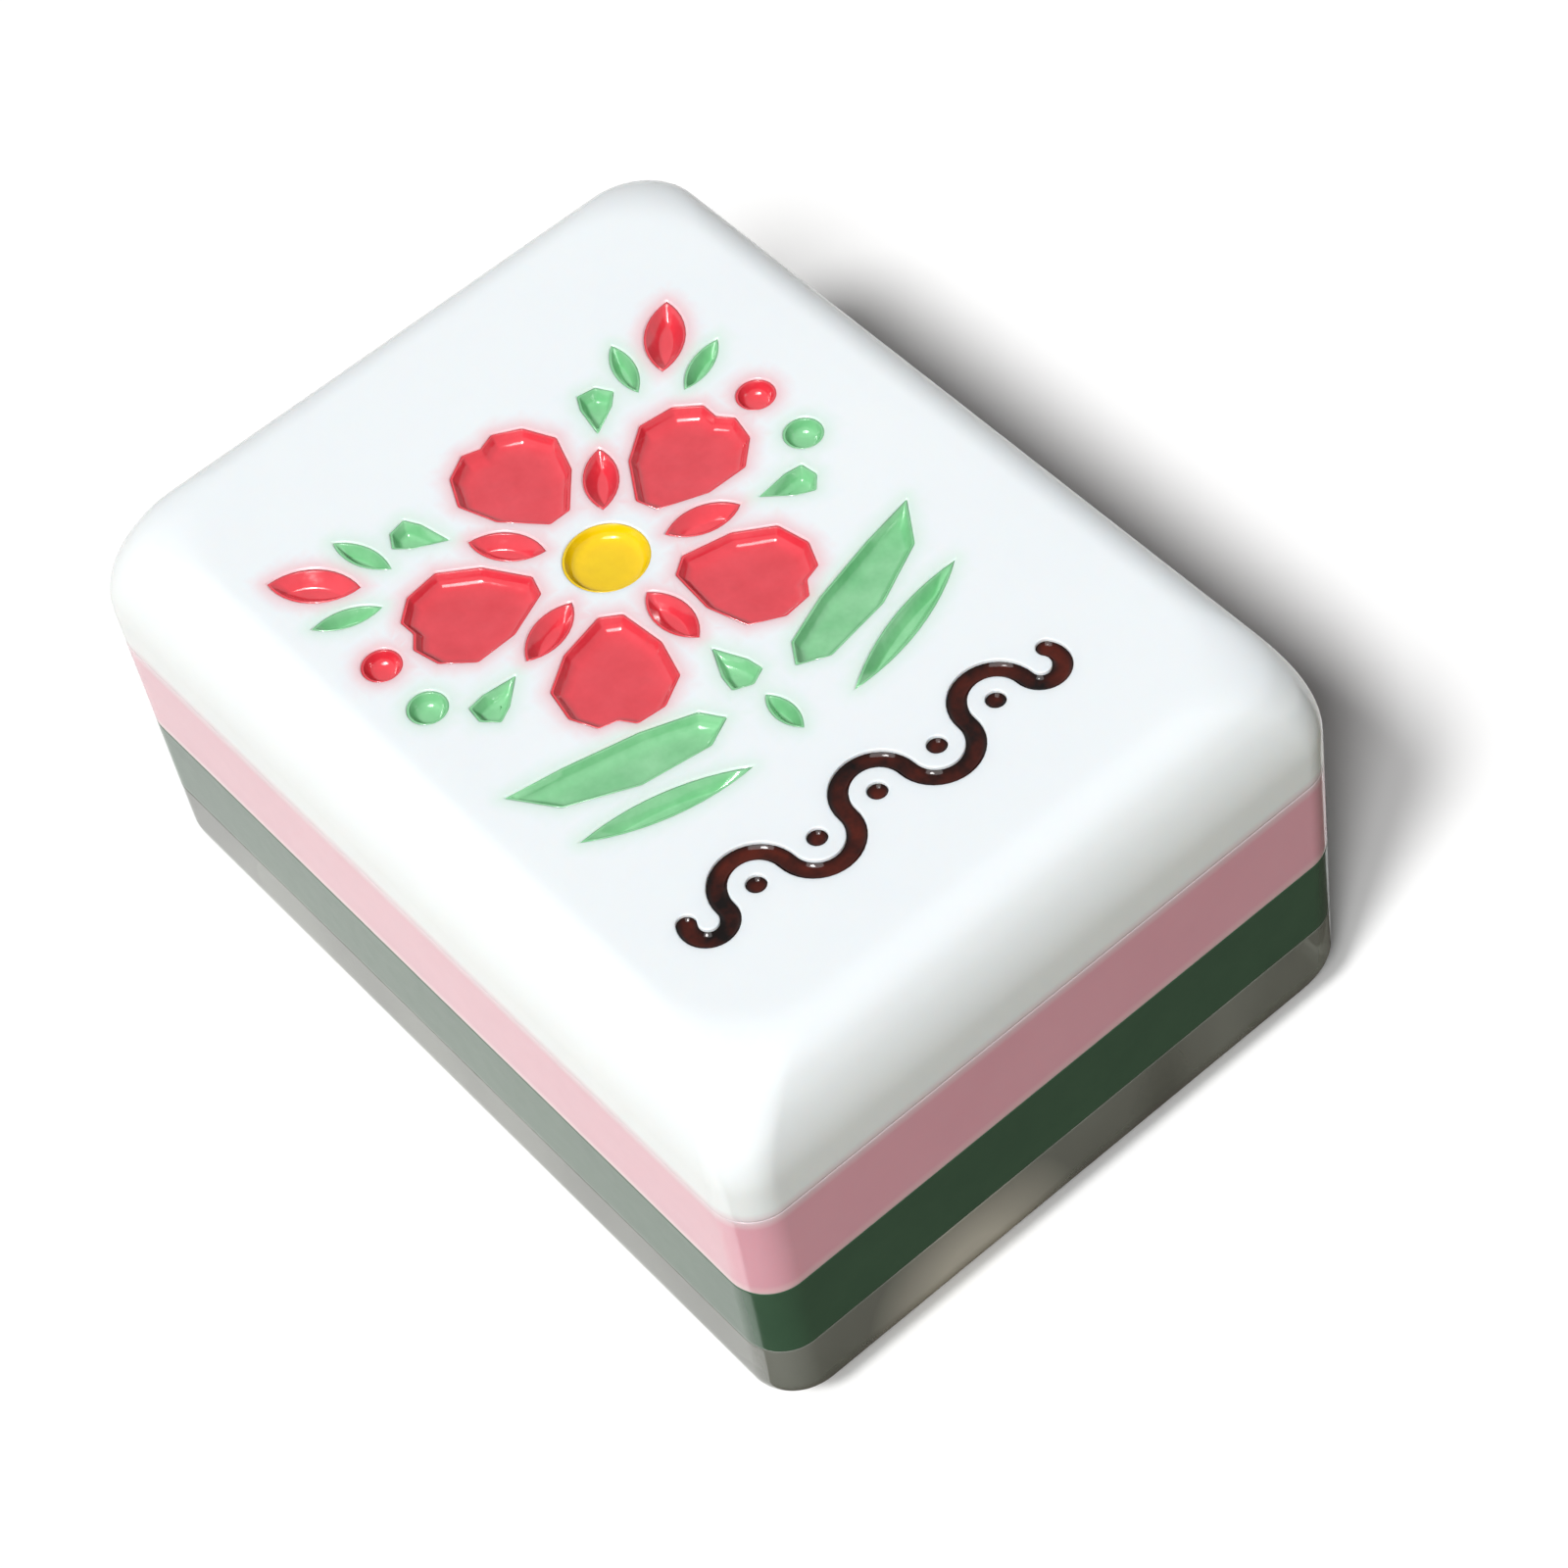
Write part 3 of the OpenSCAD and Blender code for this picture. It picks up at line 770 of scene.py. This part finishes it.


# %% [markdown]
# A finish is such a tree with a Principled shader at its end. Its patterns lie on Object
# coordinates in millimetres, so that they have one scale on all pieces. Colours that were judged on
# a screen are turned into the linear values that Blender calculates with.


# %% Finishes
class Finish(NodeTree):
    """A material under one Principled shader."""

    def __init__(self, name, **surface):
        self.material = bpy.data.materials.new(name)
        self.material.use_nodes = True
        super().__init__(self.material.node_tree)
        self.shader = self.nodes["Principled BSDF"]
        self.surface(**surface)

    def surface(self, **values):
        """Sets inputs of the Principled shader, with _ for each space in their names."""
        for name, value in values.items():
            self.feed(self.shader.inputs[name.replace("_", " ")], value)

    def place(self):
        """Object coordinates in millimetres."""
        here = self.add("ShaderNodeTexCoord", output="Object")
        return self.add("ShaderNodeVectorMath", {"operation": "SCALE"}, {0: here, "Scale": 1 / MM})

    def noise(self, place, size, detail=2.0, roughness=0.5):
        """Soft noise from 0 to 1, whose blotches are about size mm across."""
        return self.add(
            "ShaderNodeTexNoise", {"noise_dimensions": "3D"},
            {"Vector": place, "Scale": 1 / size, "Detail": detail, "Roughness": roughness})

    def blend(self, share, first, second):
        """A colour between two colours."""
        return self.add(
            "ShaderNodeMix", {"data_type": "RGBA"}, {0: share, 6: first, 7: second}, output=2)

    def near(self, name):
        """A number stored on the mesh under a name."""
        return self.add(
            "ShaderNodeAttribute", {"attribute_type": "GEOMETRY", "attribute_name": name},
            output="Fac")

    def near_level(self, place, z, side, reach):
        """1 at a level, which falls to 0 within a reach above it (side 1) or below it (side -1)."""
        upright = self.add("ShaderNodeSeparateXYZ", {}, {"Vector": place}, output="Z")
        return (1 - (upright - z) * (side / reach)).clamped()

    def bump(self, height, depth):
        """Raises the surface by a height from 0 to 1 times a depth in mm."""
        self.surface(Normal=self.add(
            "ShaderNodeBump", {}, {"Height": height, "Distance": depth * MM, "Strength": 1.0},
            output="Normal"))


def colour(red, green, blue):
    """A colour from its 0 to 255 values as seen on a screen."""
    def linear(value):
        share = value / 255
        return share / 12.92 if share <= 0.04045 else ((share + 0.055) / 1.055) ** 2.4
    return (linear(red), linear(green), linear(blue), 1.0)


# %% [markdown]
# ## Finish of the white face
#
# The face is milky cast acrylic. Light goes a little way into it, so its edges and the strips
# between the cells glow: that is what subsurface scattering is for. Beside the red and green cells
# that light comes out tinted, and this tinted glow is painted into the colour. It is polished, but
# hands have worn it for years, so the gloss is broken by a very fine haze. Where it meets the pink
# layer, each shines a little way into the other; that glow is painted into the colour too, so the
# seam has no hard edge.

# %% White acrylic
ACRYLIC_IOR = 1.49
WHITE = (0.875, 0.92, 0.95, 1.0)
WHITE_DEEP = (0.84, 0.885, 0.92, 1.0)
WHITE_SCATTER = (1.0, 0.8, 0.7)
WHITE_SCATTER_MM = 0.6
PINK = (0.80, 0.425, 0.51, 1.0)
RED_GLOW = (0.92, 0.42, 0.46, 1.0)
RED_SHARE = 0.7
GREEN_GLOW = (0.50, 0.84, 0.57, 1.0)
GREEN_SHARE = 0.4
SEAM_REACH = 0.4
SEAM_SHARE = 0.5
SHINE = 0.1
HAZE = 0.12
HAZE_MM = 0.5
RIPPLE = 0.004
RIPPLE_MM = 1.4


def polish(finish, place):
    """Gives a finish the gloss of polished acrylic, with its haze and its faint ripples."""
    finish.surface(Roughness=finish.noise(place, HAZE_MM, 4) * HAZE + SHINE)
    finish.bump(finish.noise(place, RIPPLE_MM, 3), RIPPLE)


def white_acrylic():
    finish = Finish("white_acrylic", Subsurface_Weight=0.35, Subsurface_Radius=WHITE_SCATTER,
                    Subsurface_Scale=WHITE_SCATTER_MM * MM, IOR=ACRYLIC_IOR)
    place = finish.place()
    milk_and_glow = finish.blend(finish.noise(place, 6), WHITE_DEEP, WHITE)
    # painted glow: beside the paints the white takes on a red or green tint, as scattered light does
    milk_and_glow = finish.blend(finish.near("red_near") * RED_SHARE, milk_and_glow, RED_GLOW)
    milk_and_glow = finish.blend(finish.near("green_near") * GREEN_SHARE, milk_and_glow, GREEN_GLOW)
    # painted glow: near the joint the white takes on the pink that shines up into it
    seam = finish.near_level(place, WHITE_Z, 1, SEAM_REACH)
    finish.surface(Base_Color=finish.blend(seam * SEAM_SHARE, milk_and_glow, PINK))
    polish(finish, place)
    return finish.material


# %% [markdown]
# ## Finish of the pink and green layers
#
# The pink layer is translucent too. It pales at both joints: where it meets the white, and more
# beside the green. That paling is painted glow, light that scatters at the joints. The green layer
# is so dark that little but its gloss shows, with a faint marbling from the casting. That gloss is
# tinted green, because some of it is light that went a little way in.

# %% Pink and green acrylic
PINK_DEEP = (0.74, 0.365, 0.45, 1.0)
PINK_SEAM_GLOW = (0.88, 0.62, 0.65, 1.0)
# the paler pink near the green joint is painted glow of light scattered at that joint
PINK_SCATTER = (1.0, 0.5, 0.5)
PINK_SCATTER_MM = 0.8
SEAM_GLOW_SHARE = 0.8
GREEN = (0.048, 0.108, 0.062, 1.0)
GREEN_DEEP = (0.032, 0.076, 0.045, 1.0)
GREEN_GLOSS = (0.72, 1.0, 0.78, 1.0)


def pink_acrylic():
    finish = Finish("pink_acrylic", Subsurface_Weight=0.3, Subsurface_Radius=PINK_SCATTER,
                    Subsurface_Scale=PINK_SCATTER_MM * MM, IOR=ACRYLIC_IOR, Coat_Weight=0.3,
                    Coat_Roughness=0.05)
    place = finish.place()
    body = finish.blend(finish.noise(place, 4, 3), PINK_DEEP, PINK)
    # painted glow: the pink pales towards the green joint, where light scatters
    low_seam = finish.near_level(place, PINK_Z, 1, SEAM_REACH)
    body = finish.blend(low_seam * SEAM_GLOW_SHARE, body, PINK_SEAM_GLOW)
    # painted glow: towards the white the pink takes on the white that shines down into it
    high_seam = finish.near_level(place, WHITE_Z, -1, SEAM_REACH)
    finish.surface(Base_Color=finish.blend(high_seam * SEAM_SHARE, body, WHITE))
    polish(finish, place)
    return finish.material


def green_acrylic():
    finish = Finish("green_acrylic", IOR=ACRYLIC_IOR, Specular_Tint=GREEN_GLOSS)
    place = finish.place()
    marble = finish.noise(place, 2.5, 4, 0.6)
    finish.surface(Base_Color=finish.blend(marble, GREEN_DEEP, GREEN))
    polish(finish, place)
    return finish.material


# %% [markdown]
# ## Finish of the clear foot
#
# The foot is clear acrylic, so it takes its look from what stands behind it: light enters, bends,
# and is thrown back inside from the polished bottom. Full transmission would show the white sheet
# alone, while the real foot looks smoky from the dim room that it refracts. So half of the light
# goes through it, at the true index of refraction, and half meets a body painted with that
# refraction: a grey with upright streaks. Near the front corner the foot gathers light into a warm
# bright patch, which is painted into that body as well.

# %% Clear acrylic
# the two greys are painted refraction of a dim room, and the warm tone is a painted caustic
CLEAR = (0.37, 0.39, 0.35, 1.0)
CLEAR_REFRACTED_DARK = (0.20, 0.21, 0.18, 1.0)
CLEAR_PAINTED_CAUSTIC = (0.96, 0.92, 0.82, 1.0)
STREAK_SQUASH = (1, 1, 0.25)
REFRACTED_STREAK_MM = 5
REFRACTED_STREAK_FROM = 0.38
REFRACTED_STREAK_GAIN = 4
LIT_AT = (-4.1, -15.0, 1.4)
LIT_REACH = 4.0
LIT_GAIN = 1.5


def clear_acrylic():
    finish = Finish("clear_acrylic", IOR=ACRYLIC_IOR, Transmission_Weight=0.5)
    place = finish.place()
    streak = finish.add(
        "ShaderNodeVectorMath", {"operation": "MULTIPLY"}, {0: place, 1: STREAK_SQUASH})
    # painted refraction: a grey with darker upright streaks for the dim room seen through the foot
    refracted_streaks = finish.noise(streak, REFRACTED_STREAK_MM, 2, 0.4)
    body = finish.blend(((refracted_streaks - REFRACTED_STREAK_FROM) * REFRACTED_STREAK_GAIN).clamped(), CLEAR_REFRACTED_DARK, CLEAR)
    # painted caustic: a warm bright patch near the front corner, where the foot gathers light
    away = finish.add(
        "ShaderNodeVectorMath", {"operation": "DISTANCE"}, {0: place, 1: LIT_AT}, output="Value")
    patch = (LIT_GAIN - away * (LIT_GAIN / LIT_REACH)).clamped()
    finish.surface(Base_Color=finish.blend(patch, body, CLEAR_PAINTED_CAUSTIC),
                   Roughness=finish.noise(place, 0.6, 3) * 0.05 + 0.01)
    finish.bump(finish.noise(place, 2.5, 2), 0.003)
    return finish.material


# %% [markdown]
# ## Finish of the paints
#
# Brush paint is never one colour: it lies thin on the walls and pools on the floor, and its gloss
# is wavy. Each paint blends a full and a thin tone by soft noise, with a clear coat over it. The
# yellow shines less than the red and the green, and the brown least. The brown lies dished in its
# groove. It is nearly black on the walls and redder where the dish is deepest, so there the noise
# is held to that depth.

# %% Paints
PAINT_IOR = 1.5
PAINT_ROUGHNESS = 0.12
BRUSH_WAVES = 0.045
POOL_MM = 1.1
DISH_GAIN = 3
DISH_FROM = 1.05


def paint(name, full, thin, coat_ior=PAINT_IOR, mirror=0.3, dished=False):
    """A paint of two tones, whose gloss comes from its coat and from a mirror level below it."""
    finish = Finish(name, IOR=PAINT_IOR, Coat_Weight=0.8, Coat_Roughness=0.06, Coat_IOR=coat_ior,
                    Specular_IOR_Level=mirror)
    place = finish.place()
    pool = finish.noise(place, POOL_MM, 3, 0.6)
    if dished:
        middle = finish.near_level(place, FACE_Z - LINE_DROP - LINE_DISH, 1, LINE_DISH)
        pool = (middle * (pool * DISH_GAIN - DISH_FROM)).clamped()
    finish.surface(Base_Color=finish.blend(pool, full, thin),
                   Roughness=finish.noise(place, 0.3, 3) * 0.1 + PAINT_ROUGHNESS)
    finish.bump(finish.noise(place, 0.7, 2), BRUSH_WAVES)
    return finish.material


materials = {
    "white_acrylic": white_acrylic(),
    "pink_acrylic": pink_acrylic(),
    "green_acrylic": green_acrylic(),
    "clear_acrylic": clear_acrylic(),
    "red_paint": paint("red_paint", colour(204, 32, 48), colour(230, 68, 82)),
    "green_paint": paint("green_paint", colour(88, 172, 110), colour(152, 212, 164)),
    "yellow_paint": paint("yellow_paint", colour(226, 186, 2), colour(242, 208, 14),
                          coat_ior=1.4, mirror=0.1),
    "brown_paint": paint("brown_paint", colour(10, 2, 1), colour(82, 24, 10),
                         coat_ior=1.28, mirror=0.0, dished=True),
}
print("finishes:", ", ".join(materials))

# %% [markdown]
# ## Making the pieces
#
# Each piece ends the same way: doubles are merged, the faces are turned outwards, the mesh is
# scaled to metres, and the object is tied to the frame. Its origin stays at the world's origin, so
# patterns on Object coordinates lie where they should.
#
# The films come first, because the white face has to know where they lie. Each film is its own
# piece and stands for its own CAD node. Copies of the red and the green ones are gathered, only to
# measure distances from them.


# %% The films of paint
def finish_piece(bm, name, slot, *nodes):
    """Turns a bmesh in mm into a smooth piece that stands for some CAD nodes."""
    bmesh.ops.remove_doubles(bm, verts=bm.verts, dist=SAME_SPOT)
    bmesh.ops.recalc_face_normals(bm, faces=bm.faces)
    bmesh.ops.scale(bm, vec=(MM, MM, MM), verts=bm.verts)
    for face in bm.faces:
        face.smooth = True
    open_edges = sum(1 for edge in bm.edges if len(edge.link_faces) != 2)
    mesh = bpy.data.meshes.new(name)
    bm.to_mesh(mesh)
    bm.free()
    piece = bpy.data.objects.new(name, mesh)
    bpy.context.scene.collection.objects.link(piece)
    mesh.materials.append(materials[slot])
    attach(piece, "root")
    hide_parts(*nodes)
    print(f"{name}: {len(mesh.polygons)} faces, {open_edges} open edges")


gathered = {"red_paint": bmesh.new(), "green_paint": bmesh.new()}
for cell in cells:
    film = lay_paint(cell)
    if cell.paint in gathered:
        take_in(gathered[cell.paint], film.copy())
    finish_piece(film, cell.name, cell.paint, cell.node)
finish_piece(run_line(paint_half(LINE_R)), "wave_lacquer", "brown_paint", "wave_paint")
for i in range(1, WAVES + 1):
    finish_piece(turn_dot(paint_half(DOT_R), i), f"wave_dot_lacquer_{i}", "brown_paint",
                 f"wave_dot_paint_{i}")

# %% [markdown]
# The face is engraved as one mesh, as the real one is cut from one sheet, and learns how near the
# paints are.

# %% The white face
white = white_block()
cut_grid(white, engrave(white))
for slot, name in (("red_paint", "red_near"), ("green_paint", "green_near")):
    mark_nearness(white, name, gathered[slot])
    gathered[slot].free()
finish_piece(white, "engraved_face", "white_acrylic", "face_layer")

# %% [markdown]
# The pink and the green layer are slabs with upright sides. The foot has the underside's rounding.

# %% The pink, green and clear layers
finish_piece(middle_layer(PINK_Z, WHITE_Z), "pink_slab", "pink_acrylic", "pink_layer")
finish_piece(middle_layer(GREEN_Z, PINK_Z), "green_slab", "green_acrylic", "green_layer")
finish_piece(clear_foot(), "clear_foot", "clear_acrylic", "clear_base")

# %% [markdown]
# ## Floor, card and world
#
# The tile lies on a white sheet under soft light. The floor is a plain disc whose colour the camera
# and mirror-like rays see as white, while it throws less light back up at the tile, as a sheet in a
# real room does. It still shows the shadow.

# %% Floor
FLOOR_R = 0.5
FLOOR_STEPS = 64
FLOOR_SEEN = (0.98, 0.98, 0.98, 1.0)
FLOOR_DIFFUSE = (0.40, 0.37, 0.28, 1.0)
FLOOR_LIFT = 0.02  # a trace of light of its own, which keeps the sheet evenly white
BLACK = (0.0, 0.0, 0.0, 1.0)
PURE_WHITE = (1.0, 1.0, 1.0, 1.0)


def seen_directly(tree):
    """1 for camera, mirror and glass rays, 0 for light that is scattered."""
    def ray(kind):
        return tree.add("ShaderNodeLightPath", output=kind)
    return (ray("Is Camera Ray") + ray("Is Glossy Ray") + ray("Is Transmission Ray")).clamped()


def lay_out(bm, name, finish):
    """Turns a flat bmesh into an object beside the tile and returns it."""
    mesh = bpy.data.meshes.new(name)
    bm.to_mesh(mesh)
    bm.free()
    mesh.materials.append(finish.material)
    sheet = bpy.data.objects.new(name, mesh)
    bpy.context.scene.collection.objects.link(sheet)
    print(name, "is", [round(side / MM) for side in sheet.dimensions], "mm")
    return sheet


floor_finish = Finish("floor_sheet", Roughness=1.0, Specular_IOR_Level=0.0,
                      Emission_Strength=FLOOR_LIFT)
seen = seen_directly(floor_finish)
floor_finish.surface(Base_Color=floor_finish.blend(seen, FLOOR_DIFFUSE, FLOOR_SEEN),
                     Emission_Color=floor_finish.blend(seen, BLACK, PURE_WHITE))
floor_bm = bmesh.new()
bmesh.ops.create_circle(floor_bm, cap_ends=True, radius=FLOOR_R, segments=FLOOR_STEPS)
floor = lay_out(floor_bm, "floor", floor_finish)

# %% [markdown]
# Glossy sides mirror whatever stands before them, and before a real tile there is a dim room. So a
# dark card lies in front of the short side. Only mirror-like rays see it: it darkens what that side
# mirrors, and neither the camera nor the light on the floor knows of it.

# %% Dark card
CARD_COLOUR = (0.10, 0.09, 0.08, 1.0)
CARD_W = 120
CARD_L = 60
CARD_AT = Vector((0, -43.8, 0.1))

card_finish = Finish("dark_card", Base_Color=CARD_COLOUR, Roughness=1.0, Specular_IOR_Level=0.0)
card_bm = bmesh.new()
bmesh.ops.create_grid(card_bm, x_segments=1, y_segments=1, size=0.5)
bmesh.ops.scale(card_bm, vec=(CARD_W * MM, CARD_L * MM, 1), verts=card_bm.verts)
bmesh.ops.translate(card_bm, vec=CARD_AT * MM, verts=card_bm.verts)
card = lay_out(card_bm, "dark_card", card_finish)
card.visible_camera = False
card.visible_diffuse = False
card.visible_shadow = False
card.visible_transmission = False

# %% [markdown]
# The world is told apart by the same rays as the floor: it is white to look at, in a mirror and
# through the clear foot, and gives the tile only a weak light.

# %% World
SKY = 0.08

world = bpy.data.worlds.new("studio")
bpy.context.scene.world = world
world.use_nodes = True
sky = NodeTree(world.node_tree)
background = sky.nodes["Background"]
sky.feed(background.inputs["Color"], PURE_WHITE)
sky.feed(background.inputs["Strength"], seen_directly(sky) * (1 - SKY) + SKY)
print("the world lights at", SKY)

# %% [markdown]
# ## Lamps
#
# The light comes from a window to the left and in front. A real window is a broad patch, whose
# shadow has a soft round tip. One lamp alone would leave a sharp one, so two keys stand side by side
# and their shadows overlap. The first key also makes the small bright glints. The sheen that a
# window gives to polished plastic is wider than that, so it has a lamp of its own, which is mirrored
# and gives no light. A weak, slightly warm fill from the left stands for the rest of the room,
# without a shadow or a glint.


# %% Lamps
def sun(name, turn, rise, strength, spread, tint=(1, 1, 1), glints=True, lights=True, shadow=True):
    """A distant lamp, which shines from a direction given as the camera's is."""
    lamp = bpy.data.lights.new(name, "SUN")
    lamp.energy = strength
    lamp.angle = math.radians(spread)
    lamp.color = tint
    lamp.use_shadow = shadow
    holder = bpy.data.objects.new(name, lamp)
    holder.matrix_world = looking_back(direction(turn, rise))
    holder.visible_camera = False
    holder.visible_glossy = glints
    holder.visible_diffuse = lights
    bpy.context.scene.collection.objects.link(holder)
    print(f"{name} shines from {turn}, {rise} degrees")


sun("key", turn=69, rise=55.85, strength=2.27, spread=10.5)
sun("second_key", turn=50, rise=50.5, strength=1.33, spread=10.5, glints=False)
sun("window", turn=62, rise=58, strength=2.2, spread=34, lights=False)
sun("fill", turn=88, rise=10, strength=0.46, spread=60, tint=(1.0, 0.96, 0.84), glints=False,
    shadow=False)

# %% [markdown]
# ## Hand over
#
# Last, the script stores the box of the CAD model and the box of what it made, to show that the
# looks kept the size, and writes the table of pieces.

# %% View transform
bpy.context.scene.view_settings.view_transform = "Standard"
